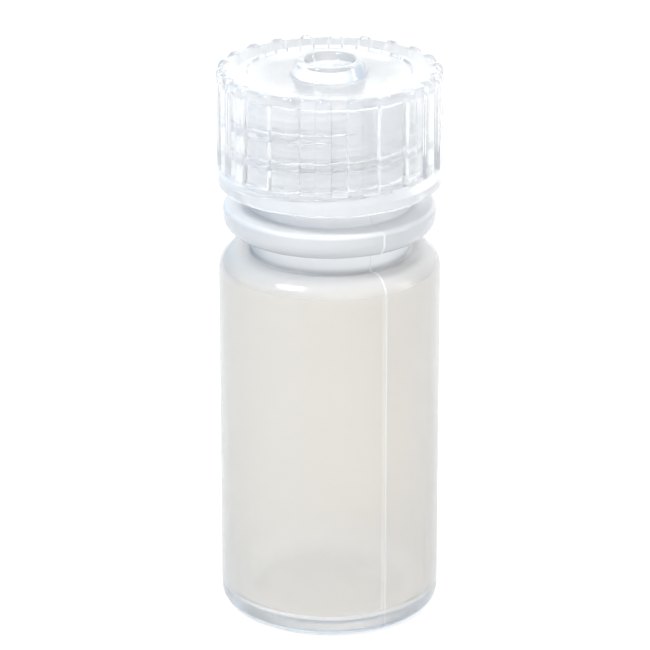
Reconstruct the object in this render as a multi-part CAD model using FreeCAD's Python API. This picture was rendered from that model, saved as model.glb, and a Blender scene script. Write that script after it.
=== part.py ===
import FreeCAD, Part
import math
import os

# Small translucent plastic bottle with a clear, ribbed screw cap.
# Millimetres, +Z up, origin on the table plane at the centre of the foot.
# The front of the bottle is -Y; angles are counter-clockwise from +X seen from above.

# ---- bottle body ----
BODY_R = 12.0            # outside radius of the straight wall
WALL = 0.85              # wall thickness of the body
FOOT_EDGE_R = 1.5        # rounding between the foot and the wall
FOOT_RING = (8.4, 10.5)  # flat standing ring, inner and outer radius
PUSH_UP = 0.45           # height of the raised middle of the foot
PUSH_UP_R = 7.4          # radius of the raised middle
FLOOR_Z = 1.6            # top of the floor, inside
FLOOR_EDGE_R = 1.2       # rounding between floor and wall, inside
SHOULDER_Z = 39.41       # top of the straight wall
SHOULDER_R = 2.17        # outside rounding of the shoulder
SHOULDER_SWEEP = 123.0   # degrees of that rounding, down into the neck groove

# ---- neck finish ----
BORE_R = 7.3             # inside radius of the neck and mouth
GROOVE_R = 8.75          # neck between the shoulder and the bead
NECK_R = 8.84            # neck wall between the bead and the mouth
BEAD_R = 11.53           # widest radius of the bead
BEAD_BOTTOM_Z = 43.49
BEAD_TOP_Z = 46.46
BEAD_LOWER_R = 1.73      # rounding under the bead
BEAD_UPPER_R = 0.54      # rounding over the bead
MOUTH_Z = 59.75          # land around the mouth
MOUTH_EDGE_R = 0.35      # rounding inside and outside the land

# ---- screw thread, shared by the neck and the cap ----
PITCH = 3.175            # 8 threads to the inch, right-handed
THREAD_FADE = 55.0       # degrees over which each end sinks into its wall
NECK_THREAD = {
    "crest_r": 9.82, "root_r": 8.6, "crest_w": 0.75, "root_w": 1.95,
    "top_z": 58.45, "top_deg": 290.0, "turns": 2.6,
}
CAP_THREAD = {
    "crest_r": 9.06, "root_r": 10.3, "crest_w": 0.45, "root_w": 1.15,
    "top_z": 57.05, "top_deg": 290.0, "turns": 2.35,
}

# ---- cap ----
CAP_BOTTOM_Z = 48.55
CAP_OUT_R = 12.12        # ribs and the smooth band below them
CAP_BAND_TOP_Z = 51.1    # top of the smooth band
CAP_SKIRT_R = 11.6       # skirt between the ribs
CAP_RIM_Z = 61.5         # rim of the top
CAP_IN_R = 10.05         # inside wall
CAP_LEAD_R = 10.75       # widened entry at the lower edge
CAP_LEAD_H = 0.9         # height of that taper
CAP_CEILING_Z = 60.0     # inside top
CAP_CORNER_R = 0.4       # rounding at the rim, and inside between wall and ceiling
BAND_EDGE_R = 0.2        # rounding over the band, and in the angle above it
RIBS = 22
RIB_W = 1.9
RIB_TOP_Z = 61.72
RIB_FIRST_DEG = 266.7    # the rib nearest the front
RIB_EDGE = 0.3           # easing of a rib's two long edges
RIB_SHOULDER_R = 0.6     # rounding from a rib's face over to its top
RIB_BURY = 0.3           # how far a rib reaches into the skirt and the band
DISH_R = 8.7             # foot of the small step inside the rim
DISH_Z = 61.0
DISH_MIDDLE_Z = 60.74    # top surface where the boss begins
BOSS_BASE_R = 4.1
BOSS_CREST = (3.1, 62.4)
BOSS_WELL = (2.3, 61.5)  # radius and floor of the well in the boss

# ---- seal ring under the top of the cap ----
SEAL_IN_R = 6.3
SEAL_PLUG_R = 7.24       # plug inside the bore, 0.06 clear
SEAL_OUT_R = 8.5
SEAL_TOP_Z = 59.96
SEAL_LAND_Z = 59.79      # underside over the land, 0.04 clear
SEAL_BOTTOM_Z = 58.0
SEAL_LEAD = 0.3          # chamfer on the end of the plug


def point(r, z):
    return FreeCAD.Vector(r, 0, z)


def lathe(start, *steps):
    """Solid of revolution. A step is an end point, or an arc's middle point and end point."""
    edges = []
    here = start
    for step in steps + (start,):
        if len(step) == 2:
            if step != here:
                edges.append(Part.makeLine(point(*here), point(*step)))
            here = step
        else:
            through, end = step[:2], step[2:]
            edges.append(Part.Arc(point(*here), point(*through), point(*end)).toShape())
            here = end
    face = Part.Face(Part.Wire(edges))
    return face.revolve(FreeCAD.Vector(), FreeCAD.Vector(0, 0, 1), 360)


def corner(centre, radius, from_deg, to_deg):
    """Arc step about a centre: the middle and the end of the arc."""
    middle = math.radians((from_deg + to_deg) / 2)
    end = math.radians(to_deg)
    return (
        centre[0] + radius * math.cos(middle), centre[1] + radius * math.sin(middle),
        centre[0] + radius * math.cos(end), centre[1] + radius * math.sin(end),
    )


def thread(crest_r, root_r, crest_w, root_w, top_z, top_deg, turns):
    """Helical ridge between two radii, whose ends sink into the wall it stands on."""
    sweep = turns * 360
    count = math.ceil(sweep / 15)
    path = []
    for i in range(count + 1):
        deg = sweep * i / count
        to_end = min(deg, sweep - deg) / THREAD_FADE
        sunk = (root_r - crest_r) * (1 - math.sin(min(to_end, 1) * math.pi / 2))
        turn = math.radians(top_deg - sweep + deg)
        z = top_z - PITCH * (sweep - deg) / 360
        r = crest_r + sunk
        path.append(FreeCAD.Vector(r * math.cos(turn), r * math.sin(turn), z))
    curve = Part.BSplineCurve()
    curve.interpolate(path)

    start = path[0]
    outward = FreeCAD.Vector(start.x, start.y, 0).normalize()
    up = FreeCAD.Vector(0, 0, 1)
    depth = root_r - crest_r
    section = [
        start + up * (crest_w / 2),
        start + outward * depth + up * (root_w / 2),
        start + outward * depth - up * (root_w / 2),
        start - up * (crest_w / 2),
    ]
    sweeper = Part.BRepOffsetAPI.MakePipeShell(Part.Wire(curve.toShape()))
    sweeper.setBiNormalMode(up)
    sweeper.add(Part.Wire(Part.makePolygon(section + section[:1])))
    sweeper.build()
    sweeper.makeSolid()
    return sweeper.shape()


def bottle():
    shoulder = (BODY_R - SHOULDER_R, SHOULDER_Z)
    inner_r = BODY_R - WALL
    neck_base_z = SHOULDER_Z + SHOULDER_R - WALL
    blend = BORE_R * 0.11
    edge = MOUTH_EDGE_R
    body = lathe(
        (0, PUSH_UP),
        (PUSH_UP_R, PUSH_UP),
        (FOOT_RING[0], 0),
        (FOOT_RING[1], 0),
        corner((BODY_R - FOOT_EDGE_R, FOOT_EDGE_R), FOOT_EDGE_R, -90, 0),
        (BODY_R, SHOULDER_Z),
        corner(shoulder, SHOULDER_R, 0, SHOULDER_SWEEP),
        (GROOVE_R, BEAD_BOTTOM_Z),
        (BEAD_R - BEAD_LOWER_R, BEAD_BOTTOM_Z),
        corner((BEAD_R - BEAD_LOWER_R, BEAD_BOTTOM_Z + BEAD_LOWER_R), BEAD_LOWER_R, -90, 0),
        (BEAD_R, BEAD_TOP_Z - BEAD_UPPER_R),
        corner((BEAD_R - BEAD_UPPER_R, BEAD_TOP_Z - BEAD_UPPER_R), BEAD_UPPER_R, 0, 90),
        (NECK_R, BEAD_TOP_Z),
        (NECK_R, MOUTH_Z - edge),
        corner((NECK_R - edge, MOUTH_Z - edge), edge, 0, 90),
        (BORE_R + edge, MOUTH_Z),
        corner((BORE_R + edge, MOUTH_Z - edge), edge, 90, 180),
        (BORE_R, neck_base_z + blend),
        corner((BORE_R + blend, neck_base_z + blend), blend, 180, 270),
        (BODY_R - SHOULDER_R, neck_base_z),
        corner(shoulder, SHOULDER_R - WALL, 90, 0),
        (inner_r, FLOOR_Z + FLOOR_EDGE_R),
        corner((inner_r - FLOOR_EDGE_R, FLOOR_Z + FLOOR_EDGE_R), FLOOR_EDGE_R, 0, -90),
        (0, FLOOR_Z),
    )
    return body.fuse(thread(**NECK_THREAD)).Solids[0]


def cap_body():
    well_r, well_z = BOSS_WELL
    crest_r, crest_z = BOSS_CREST
    rim_in_r = CAP_SKIRT_R - CAP_CORNER_R
    rim_in_z = CAP_RIM_Z - CAP_CORNER_R
    ceiling_in = (CAP_IN_R - CAP_CORNER_R, CAP_CEILING_Z - CAP_CORNER_R)
    edge = BAND_EDGE_R
    return lathe(
        (0, CAP_CEILING_Z),
        (ceiling_in[0], CAP_CEILING_Z),
        corner(ceiling_in, CAP_CORNER_R, 90, 0),
        (CAP_IN_R, CAP_BOTTOM_Z + CAP_LEAD_H),
        (CAP_LEAD_R, CAP_BOTTOM_Z),
        (CAP_OUT_R - 0.85, CAP_BOTTOM_Z),
        (CAP_OUT_R - 0.25, CAP_BOTTOM_Z + 0.22, CAP_OUT_R, CAP_BOTTOM_Z + 0.65),
        (CAP_OUT_R, CAP_BAND_TOP_Z - edge),
        corner((CAP_OUT_R - edge, CAP_BAND_TOP_Z - edge), edge, 0, 90),
        (CAP_SKIRT_R + edge, CAP_BAND_TOP_Z),
        corner((CAP_SKIRT_R + edge, CAP_BAND_TOP_Z + edge), edge, 270, 180),
        (CAP_SKIRT_R, rim_in_z),
        corner((rim_in_r, rim_in_z), CAP_CORNER_R, 0, 90),
        (DISH_R + 0.25, DISH_Z + 0.25),
        (DISH_R + 0.06, DISH_Z + 0.07, DISH_R - 0.15, DISH_Z),
        (BOSS_BASE_R, DISH_MIDDLE_Z),
        (BOSS_BASE_R - 0.3, DISH_MIDDLE_Z + 0.1, BOSS_BASE_R - 0.45, DISH_MIDDLE_Z + 0.45),
        (crest_r + 0.35, crest_z - 0.3),
        (crest_r, crest_z, crest_r - 0.35, crest_z - 0.25),
        (well_r + 0.15, well_z + 0.15),
        (well_r + 0.05, well_z + 0.03, well_r - 0.15, well_z),
        (0.6, well_z),
        (0.5, well_z + 0.17, 0.35, well_z + 0.22),
        (0, well_z + 0.22),
    )


def arc(start, through, end):
    return Part.Arc(start, through, end).toShape()


def rib():
    """One grip rib along +X: rounded outer edges, domed top, foot buried in the smooth band."""
    half = RIB_W / 2
    inner_r = CAP_SKIRT_R - RIB_BURY
    face_r = CAP_OUT_R - 0.02
    foot_z = CAP_BAND_TOP_Z - RIB_BURY

    def plan(r, y):
        return FreeCAD.Vector(r, y, foot_z)

    flank_end = plan(CAP_OUT_R - RIB_EDGE, half)
    face_end = plan(face_r, half - RIB_EDGE)
    flank_start = plan(CAP_OUT_R - RIB_EDGE, -half)
    face_start = plan(face_r, RIB_EDGE - half)
    edges = [
        Part.makeLine(plan(inner_r, -half), flank_start),
        arc(flank_start, plan(CAP_OUT_R - 0.1, 0.1 - half), face_start),
        arc(face_start, plan(CAP_OUT_R, 0), face_end),
        arc(face_end, plan(CAP_OUT_R - 0.1, half - 0.1), flank_end),
        Part.makeLine(flank_end, plan(inner_r, half)),
        Part.makeLine(plan(inner_r, half), plan(inner_r, -half)),
    ]
    prism = Part.Face(Part.Wire(edges)).extrude(FreeCAD.Vector(0, 0, RIB_TOP_Z - foot_z))

    def front(y, z):
        return FreeCAD.Vector(inner_r - 0.5, y, z)

    dome_z = RIB_TOP_Z - half
    outline = [
        Part.makeLine(front(-half, foot_z), front(half, foot_z)),
        Part.makeLine(front(half, foot_z), front(half, dome_z)),
        arc(front(half, dome_z), front(0, RIB_TOP_Z), front(-half, dome_z)),
        Part.makeLine(front(-half, dome_z), front(-half, foot_z)),
    ]
    tombstone = Part.Face(Part.Wire(outline)).extrude(FreeCAD.Vector(2, 0, 0))
    turned = lathe(
        (inner_r - 0.2, foot_z),
        (CAP_OUT_R, foot_z),
        (CAP_OUT_R, RIB_TOP_Z - RIB_SHOULDER_R),
        corner((CAP_OUT_R - RIB_SHOULDER_R, RIB_TOP_Z - RIB_SHOULDER_R), RIB_SHOULDER_R, 0, 90),
        (inner_r - 0.2, RIB_TOP_Z),
    )
    return prism.common(tombstone).common(turned).Solids[0]


def cap():
    axis = FreeCAD.Vector(0, 0, 1)
    one = rib()
    ribs = []
    for i in range(RIBS):
        copy = one.copy()
        copy.rotate(FreeCAD.Vector(), axis, RIB_FIRST_DEG + 360 * i / RIBS)
        ribs.append(copy)
    return cap_body().multiFuse(ribs).fuse(thread(**CAP_THREAD)).Solids[0]


def seal_ring():
    return lathe(
        (SEAL_IN_R, SEAL_TOP_Z),
        (SEAL_OUT_R, SEAL_TOP_Z),
        (SEAL_OUT_R, SEAL_LAND_Z),
        (SEAL_PLUG_R, SEAL_LAND_Z),
        (SEAL_PLUG_R, SEAL_BOTTOM_Z + SEAL_LEAD),
        (SEAL_PLUG_R - SEAL_LEAD, SEAL_BOTTOM_Z),
        (SEAL_IN_R, SEAL_BOTTOM_Z),
    )


os.makedirs("parts", exist_ok=True)
for name, make in (("bottle", bottle), ("cap", cap), ("seal_ring", seal_ring)):
    shape = make()
    box = shape.BoundBox
    print(name, shape.ShapeType, len(shape.Solids), "solid, valid", shape.isValid())
    print("  volume", round(shape.Volume, 1), "height", round(box.ZMin, 2), "to", round(box.ZMax, 2))
    shape.exportStep("parts/" + name + ".step")
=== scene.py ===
import math

import bpy
import numpy as np
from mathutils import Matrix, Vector


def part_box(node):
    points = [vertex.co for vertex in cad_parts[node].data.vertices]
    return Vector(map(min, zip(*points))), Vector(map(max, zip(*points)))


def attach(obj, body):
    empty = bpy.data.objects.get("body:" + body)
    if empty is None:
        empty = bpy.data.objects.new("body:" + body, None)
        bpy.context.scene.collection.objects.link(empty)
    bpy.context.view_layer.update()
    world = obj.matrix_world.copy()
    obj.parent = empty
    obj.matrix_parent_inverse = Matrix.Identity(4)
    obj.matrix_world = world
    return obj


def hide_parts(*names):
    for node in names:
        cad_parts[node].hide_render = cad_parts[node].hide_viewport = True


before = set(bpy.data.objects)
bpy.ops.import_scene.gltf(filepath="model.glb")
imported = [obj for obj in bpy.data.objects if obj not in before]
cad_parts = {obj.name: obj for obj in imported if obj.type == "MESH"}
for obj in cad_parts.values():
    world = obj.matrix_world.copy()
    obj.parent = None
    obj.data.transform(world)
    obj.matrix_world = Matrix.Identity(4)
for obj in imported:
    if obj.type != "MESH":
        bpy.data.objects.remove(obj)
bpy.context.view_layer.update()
MM = 0.001

# The pieces are drawn in millimetres. Angles are in degrees, counter-clockwise from +X seen
# from above.

# ---- places and sizes from the frame ----
BOTTLE_BOX = [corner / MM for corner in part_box("bottle")]
CAP_BOX = [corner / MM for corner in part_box("cap")]
SEAL_BOX = [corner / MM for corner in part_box("seal_ring")]
BODY_R = BOTTLE_BOX[1].x
MOUTH_Z = BOTTLE_BOX[1].z
CAP_R = CAP_BOX[1].x
CAP_Z = CAP_BOX[0].z
SEAL_R = SEAL_BOX[1].x

# ---- bottle ----
BODY_IN_R = 11.15
BORE_R = 7.3
NECK_R = 8.84
BEAD_R = 11.53
BEAD_TOP_Z = 46.46
PUSH_UP_Z = 0.45
FLOOR_Z = 1.6
SHOULDER_IN_Z = 40.73

# ---- cap ----
CAP_IN_R = 10.05
CEILING_Z = 60.0
BAND_TOP_Z = 51.1
BAND_EDGE_R = 0.2
RIM_Z = 61.5
RIM_EDGE_R = 0.4
BOSS_Z = 62.4
WELL_Z = 61.5
GATE_Z = 61.72

# ---- grip ribs of the cap ----
RIBS = 22
RIB_FIRST_DEG = 266.7
RIB_HALF_W = 0.95
RIB_HEIGHT = 0.52
RIB_DOME_HEIGHT = 0.22
RIB_FLANK = 0.18         # width of a rib's sloping side
RIB_TOP_RUN = 0.9        # how far a rib runs in over the rim
RIB_DOME_START = 0.9     # how far below the rim it starts to narrow
SKIRT_R = CAP_R - RIB_HEIGHT
FACE_STEPS = (0, 0.4, 0.7)
FLANK_STEPS = (0.6, 0.4, 0.2, 0.0)
GAP_STEPS = (0.15, 0.4, 0.7)

# ---- seal ring ----
SEAL_IN_R = 6.3
PLUG_R = 7.24
SEAL_BOTTOM_Z = 58.0
SEAL_LAND_Z = 59.79
SEAL_TOP_Z = 59.96

# ---- the moulded thread, as in the frame ----
PITCH = 3.175
THREAD_FADE = 55.0       # degrees over which each end sinks into its wall
NECK_THREAD = {
    "height": 0.98, "crest_w": 0.75, "root_w": 1.85,
    "top_z": 58.45, "top_deg": 290.0, "turns": 2.6,
}
CAP_THREAD = {
    "height": 0.99, "crest_w": 0.45, "root_w": 1.1,
    "top_z": 57.05, "top_deg": 290.0, "turns": 2.35,
}

# ---- parting line of the bottle's mould ----
SEAM_DEGS = (120.0, 300.0)
SEAM_HEIGHT = 0.06
SEAM_HALF_W = 0.12
SEAM_STEPS = (-1.25, -0.9, -0.6, -0.3, 0, 0.3, 0.6, 0.9, 1.25)
SEAM_CLEAR = 1.3         # half widths on each side kept free of the even steps

# ---- fineness of the meshes ----
ARC_STEP = 9             # degrees between the points of a rounding
BOTTLE_STEP = 1.25       # degrees between the columns of the bottle
SEAL_STEP = 2.0


def outline(*corners):
    """Points along a profile of (radius, height, rounding) corners, each corner rounded."""
    points = []
    for i, (r, z, rounding) in enumerate(corners):
        here = np.array((r, z))
        if rounding == 0 or i in (0, len(corners) - 1):
            points.append(here)
            continue
        back = np.array(corners[i - 1][:2]) - here
        ahead = np.array(corners[i + 1][:2]) - here
        back /= np.linalg.norm(back)
        ahead /= np.linalg.norm(ahead)
        half = math.acos(np.clip(back @ ahead, -1, 1)) / 2
        inward = (back + ahead) / np.linalg.norm(back + ahead)
        centre = here + inward * rounding / math.sin(half)
        start = here + back * rounding / math.tan(half) - centre
        sweep = math.pi - 2 * half
        if start[0] * (here - centre)[1] - start[1] * (here - centre)[0] < 0:
            sweep = -sweep
        steps = max(3, math.ceil(abs(sweep) / math.radians(ARC_STEP)))
        for k in range(steps + 1):
            c, s = math.cos(sweep * k / steps), math.sin(sweep * k / steps)
            points.append(centre + (c * start[0] - s * start[1], s * start[0] + c * start[1]))
    return np.array(points)


def fill_in(points, radii, heights, step):
    """Adds rows to a profile between two radii and two heights, for relief to shape."""
    out = [points[0]]
    for a, b in zip(points[:-1], points[1:]):
        r, z = (a + b) / 2
        inside = radii[0] < r < radii[1] and heights[0] < z < heights[1]
        count = max(1, math.ceil(np.linalg.norm(b - a) / step)) if inside else 1
        out += [a + (b - a) * k / count for k in range(1, count + 1)]
    return np.array(out)


def around(radius, reach=0.05):
    """The narrow span of radii that a straight wall lies in."""
    return radius - reach, radius + reach


def normals_of(points):
    """Unit normals of a profile, to the right of its direction."""
    along = np.gradient(points, axis=0)
    along /= np.linalg.norm(along, axis=1)[:, None]
    return np.c_[along[:, 1], -along[:, 0]]


def smooth(t):
    t = np.clip(t, 0, 1)
    return t * t * (3 - 2 * t)


def turned(name, points, degs, lift=0, out=0, up=0):
    """A closed turned shell, its points moved along the profile's normal, out and up."""
    angles = np.radians(degs)
    on_axis = points[:, 0] < 1e-6
    rows = points[~on_axis]
    normal = normals_of(points)[~on_axis]
    grid = (len(points), len(angles))
    lift, out, up = (np.broadcast_to(move, grid)[~on_axis] for move in (lift, out, up))
    r = rows[:, 0, None] + normal[:, 0, None] * lift + out
    z = rows[:, 1, None] + normal[:, 1, None] * lift + up
    co = np.stack([r * np.cos(angles), r * np.sin(angles), z], axis=2).reshape(-1, 3)

    n, m = len(rows), len(angles)
    is_ring = not on_axis.any()
    faces = []
    for i in range(n if is_ring else n - 1):
        this, other = i * m, (i + 1) % n * m
        for j in range(m):
            k = (j + 1) % m
            faces.append((this + j, this + k, other + k, other + j))
    if not is_ring:
        co = np.vstack([co, [(0, 0, points[0, 1]), (0, 0, points[-1, 1])]])
        last = (n - 1) * m
        faces += [(n * m, (j + 1) % m, j) for j in range(m)]
        faces += [(n * m + 1, last + j, last + (j + 1) % m) for j in range(m)]

    mesh = bpy.data.meshes.new(name)
    mesh.from_pydata((co * MM).tolist(), [], faces)
    mesh.update()
    mesh.polygons.foreach_set("use_smooth", [True] * len(mesh.polygons))
    obj = bpy.data.objects.new(name, mesh)
    bpy.context.collection.objects.link(obj)
    return obj


def thread_relief(z, degs, height, crest_w, root_w, top_z, top_deg, turns):
    """Height of a helical ridge over a wall, at each row's z and each angle."""
    relief = np.zeros((len(z), len(degs)))
    for turn in range(1, math.ceil(turns) + 1):
        deg = (degs - top_deg) % 360 - 360 * turn
        centre = top_z + PITCH * deg / 360
        to_end = np.minimum(-deg, deg + turns * 360) / THREAD_FADE
        size = np.sin(np.clip(to_end, 0, 1) * math.pi / 2)
        off = np.abs(z[:, None] - centre)
        ridge = 1 - smooth((off - crest_w / 2) / (root_w / 2 - crest_w / 2))
        relief = np.maximum(relief, height * ridge * size)
    return relief


def bottle_angles():
    """Even steps, with closer ones over the two parting lines."""
    degs = list(np.arange(0, 360, BOTTLE_STEP))
    width = math.degrees(SEAM_HALF_W / BODY_R)
    for seam in SEAM_DEGS:
        degs = [d for d in degs if abs(d - seam) > SEAM_CLEAR * width]
        degs += [seam + width * k for k in SEAM_STEPS]
    return np.array(sorted(degs))


def make_bottle():
    points = outline(
        (0, PUSH_UP_Z, 0),
        (7.4, PUSH_UP_Z, 0.5),
        (8.4, 0, 0.5),
        (BODY_R, 0, 1.5),
        (BODY_R, 41.78, 2.17),
        (8.62, 41.08, 0.3),
        (8.75, 43.45, 0.2),
        (BEAD_R, 43.49, 1.73),
        (BEAD_R, BEAD_TOP_Z, 0.54),
        (NECK_R, BEAD_TOP_Z, 0.2),
        (NECK_R, MOUTH_Z, 0.35),
        (BORE_R, MOUTH_Z, 0.35),
        (BORE_R, SHOULDER_IN_Z, 0.8),
        (BODY_IN_R, SHOULDER_IN_Z, 1.32),
        (BODY_IN_R, FLOOR_Z, 1.2),
        (0, FLOOR_Z, 0),
    )
    points = fill_in(points, around(NECK_R), (46.7, MOUTH_Z), 0.14)
    points = fill_in(points, around(BODY_R), (2.0, 39.3), 2.0)
    r, z = points.T
    degs = bottle_angles()

    on_neck = (r > 8.8) & (z > 46.6)
    lift = thread_relief(z, degs, **NECK_THREAD) * on_neck[:, None]

    off = np.min([np.abs((degs - s + 180) % 360 - 180) for s in SEAM_DEGS], axis=0)
    seam = SEAM_HEIGHT * (1 - smooth(np.radians(off) * BODY_R / SEAM_HALF_W))
    first_inside = int(np.argmax(z >= MOUTH_Z - 1e-6))
    on_skin = (np.arange(len(points)) < first_inside) & (r > 8.6) & (z > 0.05)
    lift = np.maximum(lift, seam * on_skin[:, None])
    return turned("bottle_shell", points, degs, lift)


def cap_angles():
    """For each rib: close steps over its flanks and open ones over its face and the gap."""
    edge = math.degrees(RIB_HALF_W / CAP_R)
    flank = math.degrees(RIB_FLANK / CAP_R)
    half_pitch = 180 / RIBS
    side = [edge * k for k in FACE_STEPS]
    side += [edge - flank * k for k in FLANK_STEPS]
    side += [edge + (half_pitch - edge) * k for k in GAP_STEPS]
    one_rib = [-d for d in side[:0:-1]] + side + [half_pitch]
    middles = [RIB_FIRST_DEG + 360 * k / RIBS for k in range(RIBS)]
    return np.array(sorted((middle + d) % 360 for middle in middles for d in one_rib))


def raise_ribs(points, degs):
    """How far each point of the cap moves out and up to make the ribs and their domed tops."""
    r, z = points.T
    run = np.r_[0, np.cumsum(np.linalg.norm(np.diff(points, axis=0), axis=1))]
    past = run - run[np.argmax(z >= RIM_Z - RIM_EDGE_R)]
    skirt = (r > SKIRT_R - 0.01) & (z > BAND_TOP_Z - BAND_EDGE_R - 0.01) & (past <= 0)
    top = (past > 0) & (past < RIB_TOP_RUN)
    turn = math.pi / 2 * np.clip(past / RIB_TOP_RUN, 0, 1)
    out = np.where(skirt, CAP_R - r, 0) + np.where(top, RIB_HEIGHT * np.cos(turn) ** 2, 0)
    up = np.where(top, RIB_DOME_HEIGHT * np.sin(2 * turn), 0)

    into_dome = ((past + RIB_DOME_START) / (RIB_TOP_RUN + RIB_DOME_START)).clip(0, 1)
    half_w = RIB_HALF_W * np.sqrt(1 - into_dome ** 2)
    half_pitch = 180 / RIBS
    off_deg = np.abs((degs - RIB_FIRST_DEG + half_pitch) % (360 / RIBS) - half_pitch)
    off = np.radians(off_deg) * CAP_R
    across = 1 - smooth((off - (half_w[:, None] - RIB_FLANK)) / RIB_FLANK)
    return across * out[:, None], across * up[:, None]


def make_cap():
    points = outline(
        (0, CEILING_Z, 0),
        (CAP_IN_R, CEILING_Z, 0.4),
        (CAP_IN_R, CAP_Z + 0.9, 0.3),
        (10.75, CAP_Z, 0.08),
        (11.3, CAP_Z, 0.1),
        (CAP_R, CAP_Z + 0.05, 0.65),
        (CAP_R, BAND_TOP_Z, BAND_EDGE_R),
        (SKIRT_R, BAND_TOP_Z, BAND_EDGE_R),
        (SKIRT_R, RIM_Z, RIM_EDGE_R),
        (8.95, 61.25, 0.12),
        (8.7, 61.0, 0.15),
        (4.15, 60.74, 0.4),
        (3.5, BOSS_Z, 0.35),
        (2.75, BOSS_Z, 0.3),
        (2.35, WELL_Z, 0.15),
        (0.6, WELL_Z, 0.05),
        (0.45, GATE_Z, 0.1),
        (0, GATE_Z, 0),
    )
    thread_from_z = CAP_Z + 1.0
    points = fill_in(points, around(CAP_IN_R), (thread_from_z, 59.5), 0.16)
    points = fill_in(points, around(SKIRT_R, 0.01), (BAND_TOP_Z, RIM_Z), 1.0)
    points = fill_in(points, (9.0, SKIRT_R - 0.3), (61.2, RIM_Z + 0.1), 0.2)
    r, z = points.T
    degs = cap_angles()
    first_half = np.arange(len(points)) < len(points) / 2
    inside = (r < CAP_IN_R + 0.01) & (z > thread_from_z) & first_half
    lift = thread_relief(z, degs, **CAP_THREAD) * inside[:, None]
    return turned("cap_shell", points, degs, lift, *raise_ribs(points, degs))


def make_seal():
    points = outline(
        (SEAL_IN_R, SEAL_BOTTOM_Z, 0.12),
        (PLUG_R, SEAL_BOTTOM_Z, 0.25),
        (PLUG_R, SEAL_LAND_Z, 0.05),
        (SEAL_R, SEAL_LAND_Z, 0.05),
        (SEAL_R, SEAL_TOP_Z, 0.05),
        (SEAL_IN_R, SEAL_TOP_Z, 0.05),
        (SEAL_IN_R, SEAL_BOTTOM_Z, 0.12),
    )
    return turned("seal_plug", points[:-1], np.arange(0, 360, SEAL_STEP))


# ---- materials: the bottle's colour with its painted light and shade, its clarity and haze go by height ----
WHITE = (1, 1, 1)
BODY_TINT = (0.855, 0.822, 0.775)
# painted shade: a grey that dims the bead's lit outer face and marks the dark crease at the top
# of the shoulder
BEAD_PAINTED_SHADE = (0.72, 0.72, 0.72)
NECK_TINT = (0.9, 0.905, 0.91)
# Colour by height, partly the plastic's own and partly painted light and shade: a beige body
# that whitens towards the bottom, a painted dark line at the shoulder's crease (41.3), painted
# light in the groove below the bead (41.7 to 43.4) and in the crevice between bead and cap (46.4
# to 48.0), painted shade over the bead's outer face (43.9 to 46.0), and the neck's own colour
# above 49.
BOTTLE_TINT_AND_PAINTED_LIGHT = (
    (0, WHITE), (3, BODY_TINT), (39, BODY_TINT), (41.3, BEAD_PAINTED_SHADE), (41.7, WHITE),
    (43.4, WHITE), (43.9, BEAD_PAINTED_SHADE), (46.0, BEAD_PAINTED_SHADE), (46.4, WHITE),
    (48.0, WHITE), (49.0, NECK_TINT),
)
BOTTLE_CLARITY = ((0, 0.9), (3, 0.8), (39, 0.78), (42, 0.45), (47, 0.45), (49, 0.3))
BOTTLE_HAZE = ((0, 0.05), (3, 0.2), (39, 0.22), (42, 0.08), (48, 0.08), (49, 0.2))
# painted highlight: white laid along the parting line's ridge
SEAM_PAINTED_HIGHLIGHT = (1, 1, 1, 1)
SEAM_FADE = (0.4, 1.6)   # half widths from the line between which its painted highlight fades out
DEPTH_TINT = (0.55, 0.7, 0.85, 1)
DEPTH_DENSITY = 50
MILKY = {"IOR": 1.49}
CLEAR = {"Base Color": (0.985, 0.987, 0.99, 1), "IOR": 1.49, "Transmission Weight": 0.8}
CAP_HAZE = (0.06, 0.1)
CLOUD_SIZE = 160

# Bumps: stretch along each axis, size of the noise, strength, depth in metres
EVEN = (1, 1, 1)
MOULD_LINES = ((1, 1, 0.03), 900, 0.25, 0.00004)
BOTTLE_GRAIN = (EVEN, 6000, 0.6, 0.00003)
PEEL = (EVEN, 500, 0.2, 0.00004)
CAP_GRAIN = (EVEN, 6000, 0.6, 0.00002)


def plastic(name, look):
    """A material with a Principled shader, its sockets set from a dictionary."""
    mat = bpy.data.materials.new(name)
    mat.use_nodes = True
    shader = mat.node_tree.nodes["Principled BSDF"]
    for socket, value in look.items():
        shader.inputs[socket].default_value = value
    return mat, mat.node_tree, shader


def noise(tree, stretch, size):
    """Noise in the object's own metres, stretched along each axis."""
    where = tree.nodes.new("ShaderNodeTexCoord")
    scaled = tree.nodes.new("ShaderNodeVectorMath")
    scaled.operation = "MULTIPLY"
    scaled.inputs[1].default_value = stretch
    cloud = tree.nodes.new("ShaderNodeTexNoise")
    cloud.inputs["Scale"].default_value = size
    cloud.inputs["Detail"].default_value = 2.0
    tree.links.new(where.outputs["Object"], scaled.inputs[0])
    tree.links.new(scaled.outputs[0], cloud.inputs["Vector"])
    return cloud.outputs["Fac"]


def map_range(tree, value, low, high, from_low=0.0, from_high=1.0):
    node = tree.nodes.new("ShaderNodeMapRange")
    node.inputs["From Min"].default_value = from_low
    node.inputs["From Max"].default_value = from_high
    node.inputs["To Min"].default_value = low
    node.inputs["To Max"].default_value = high
    tree.links.new(value, node.inputs["Value"])
    return node.outputs["Result"]


def ramp_over(tree, amount, stops):
    """A colour that follows an amount from 0 to 1, from (place, colour) stops."""
    ramp = tree.nodes.new("ShaderNodeValToRGB")
    elements = ramp.color_ramp.elements
    while len(elements) < len(stops):
        elements.new(0.5)
    for element, (place, colour) in zip(elements, stops):
        element.position = place
        element.color = (*colour, 1)
    tree.links.new(amount, ramp.inputs["Fac"])
    return ramp.outputs["Color"]


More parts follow.
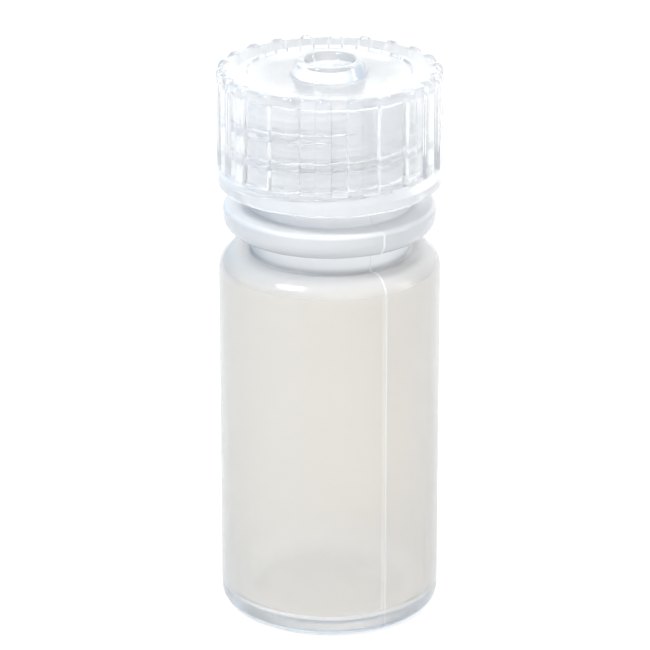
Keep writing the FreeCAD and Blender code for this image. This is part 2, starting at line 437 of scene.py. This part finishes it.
def by_height(tree, stops):
    """A value or a colour that changes with height, from (height, value or colour) stops."""
    where = tree.nodes.new("ShaderNodeTexCoord")
    split = tree.nodes.new("ShaderNodeSeparateXYZ")
    tree.links.new(where.outputs["Object"], split.inputs[0])
    height = map_range(tree, split.outputs["Z"], 0, 1, 0, MOUTH_Z * MM)
    shares = [(z / MOUTH_Z, v if isinstance(v, tuple) else (v, v, v)) for z, v in stops]
    return ramp_over(tree, height, shares)


def on_seam(tree):
    """1 along the parting line, where the painted highlight is laid, 0 away from it."""
    where = tree.nodes.new("ShaderNodeTexCoord")
    across = tree.nodes.new("ShaderNodeVectorMath")
    across.operation = "DOT_PRODUCT"
    seam = math.radians(SEAM_DEGS[0])
    across.inputs[1].default_value = (-math.sin(seam), math.cos(seam), 0)
    tree.links.new(where.outputs["Object"], across.inputs[0])
    off = tree.nodes.new("ShaderNodeMath")
    off.operation = "ABSOLUTE"
    tree.links.new(across.outputs["Value"], off.inputs[0])
    near, far = (k * SEAM_HALF_W * MM for k in SEAM_FADE)
    return map_range(tree, off.outputs[0], 1, 0, near, far)


def blend(tree, amount, plain, marked):
    """A colour that turns into another as an amount goes from 0 to 1."""
    mix = tree.nodes.new("ShaderNodeMix")
    mix.data_type = "RGBA"
    tree.links.new(amount, mix.inputs["Factor"])
    tree.links.new(plain, mix.inputs["A"])
    mix.inputs["B"].default_value = marked
    return mix.outputs["Result"]


def ripples(tree, shader, *layers):
    """Bumps one over another, each with a stretch, size, strength and depth."""
    under = None
    for stretch, size, strength, depth in layers:
        bump = tree.nodes.new("ShaderNodeBump")
        bump.inputs["Strength"].default_value = strength
        bump.inputs["Distance"].default_value = depth
        tree.links.new(noise(tree, stretch, size), bump.inputs["Height"])
        if under:
            tree.links.new(under, bump.inputs["Normal"])
        under = bump.outputs["Normal"]
    tree.links.new(under, shader.inputs["Normal"])


def milky_plastic():
    """Natural polypropylene, milkier in the bead and neck, with faint lengthwise mould lines;
    its colour carries painted shade on the bead and the shoulder's crease, painted light in the
    groove and under the cap, and a painted highlight along the parting line.
    """
    mat, tree, shader = plastic("milky_plastic", MILKY)
    # colour by height with painted light and shade, and a painted highlight along the parting
    # line
    colour_and_painted_light = blend(tree, on_seam(tree), by_height(tree, BOTTLE_TINT_AND_PAINTED_LIGHT), SEAM_PAINTED_HIGHLIGHT)
    tree.links.new(colour_and_painted_light, shader.inputs["Base Color"])
    tree.links.new(by_height(tree, BOTTLE_CLARITY), shader.inputs["Transmission Weight"])
    tree.links.new(by_height(tree, BOTTLE_HAZE), shader.inputs["Roughness"])
    depth = tree.nodes.new("ShaderNodeVolumeAbsorption")
    depth.inputs["Color"].default_value = DEPTH_TINT
    depth.inputs["Density"].default_value = DEPTH_DENSITY
    tree.links.new(depth.outputs[0], tree.nodes["Material Output"].inputs["Volume"])
    ripples(tree, shader, MOULD_LINES, BOTTLE_GRAIN)
    return mat


def clear_plastic():
    """Clear polypropylene with a slight cloudy haze and a faint orange peel."""
    mat, tree, shader = plastic("clear_plastic", CLEAR)
    haze = map_range(tree, noise(tree, EVEN, CLOUD_SIZE), *CAP_HAZE)
    tree.links.new(haze, shader.inputs["Roughness"])
    ripples(tree, shader, PEEL, CAP_GRAIN)
    return mat


def finish_piece(obj, body, node, material):
    obj.data.materials.append(material)
    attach(obj, body)
    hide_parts(node)


clear = clear_plastic()
finish_piece(make_bottle(), "bottle", "bottle", milky_plastic())
finish_piece(make_cap(), "cap", "cap", clear)
finish_piece(make_seal(), "seal_ring", "seal_ring", clear)


# ---- floor, light and camera, in metres ----
MAX_BOUNCES = 40
FLOOR_SIZE = 4.0
FLOOR = {
    "Base Color": (0.35, 0.35, 0.35, 1),
    "Roughness": 0.9,
    "Emission Color": (1, 1, 1, 1),
    "Emission Strength": 0.68,
}
WORLD_LIGHT = 1.65
TENT = (                 # from the left side to the right
    (0.0, (0.1, 0.18, 0.28)),
    (0.25, (0.32, 0.43, 0.55)),
    (0.5, WHITE),
    (0.8, WHITE),
    (1.0, (0.12, 0.18, 0.26)),
)
LIGHTS = (               # name, place, target, size, power
    ("key", (-0.25, -0.2, 0.4), (0, 0, 0.04), (0.12, 0.12), 1.8),
    ("strip", (0.35, -0.03, 0.12), (0, 0, 0.03), (0.05, 0.2), 0.25),
)
CAMERA_PITCH = 21.12
CAMERA_DISTANCE = 0.4077
CAMERA_TARGET = (-0.0005, 0, 0.03209)
CAMERA_LENS = 206.8
CAMERA_SENSOR = 36


def make_floor():
    bpy.ops.mesh.primitive_plane_add(size=FLOOR_SIZE, location=(0, 0, 0))
    floor = bpy.context.object
    floor.name = "floor"
    floor.data.materials.append(plastic("floor", FLOOR)[0])


def make_light(name, place, target, size, power):
    data = bpy.data.lights.new(name, "AREA")
    data.shape = "RECTANGLE"
    data.size, data.size_y = size
    data.energy = power
    lamp = bpy.data.objects.new(name, data)
    lamp.location = place
    aim = Vector(target) - Vector(place)
    lamp.rotation_euler = aim.to_track_quat("-Z", "Y").to_euler()
    bpy.context.collection.objects.link(lamp)


def make_world():
    """A light tent: white overhead, in front and behind, cooler and darker at the sides."""
    world = bpy.data.worlds.new("studio")
    world.use_nodes = True
    tree = world.node_tree
    background = tree.nodes["Background"]
    where = tree.nodes.new("ShaderNodeTexCoord")
    split = tree.nodes.new("ShaderNodeSeparateXYZ")
    to_unit = tree.nodes.new("ShaderNodeMath")
    to_unit.operation = "MULTIPLY_ADD"
    to_unit.inputs[1].default_value = 0.5
    to_unit.inputs[2].default_value = 0.5
    tree.links.new(where.outputs["Generated"], split.inputs[0])
    tree.links.new(split.outputs["X"], to_unit.inputs[0])
    tree.links.new(ramp_over(tree, to_unit.outputs[0], TENT), background.inputs["Color"])
    background.inputs["Strength"].default_value = WORLD_LIGHT
    bpy.context.scene.world = world


def make_camera():
    pitch = math.radians(CAMERA_PITCH)
    away = Vector((0, -math.cos(pitch), math.sin(pitch)))
    data = bpy.data.cameras.new("camera")
    data.sensor_width = CAMERA_SENSOR
    data.lens = CAMERA_LENS
    cam = bpy.data.objects.new("camera", data)
    cam.location = Vector(CAMERA_TARGET) + away * CAMERA_DISTANCE
    cam.rotation_euler = (math.pi / 2 - pitch, 0, 0)
    bpy.context.collection.objects.link(cam)
    bpy.context.scene.camera = cam


make_floor()
make_world()
for light in LIGHTS:
    make_light(*light)
make_camera()
scene = bpy.context.scene
scene.view_settings.view_transform = "Standard"
scene.cycles.max_bounces = MAX_BOUNCES
scene.cycles.transmission_bounces = MAX_BOUNCES
scene.cycles.glossy_bounces = MAX_BOUNCES
scene.cycles.diffuse_bounces = MAX_BOUNCES
scene.cycles.use_denoising = True
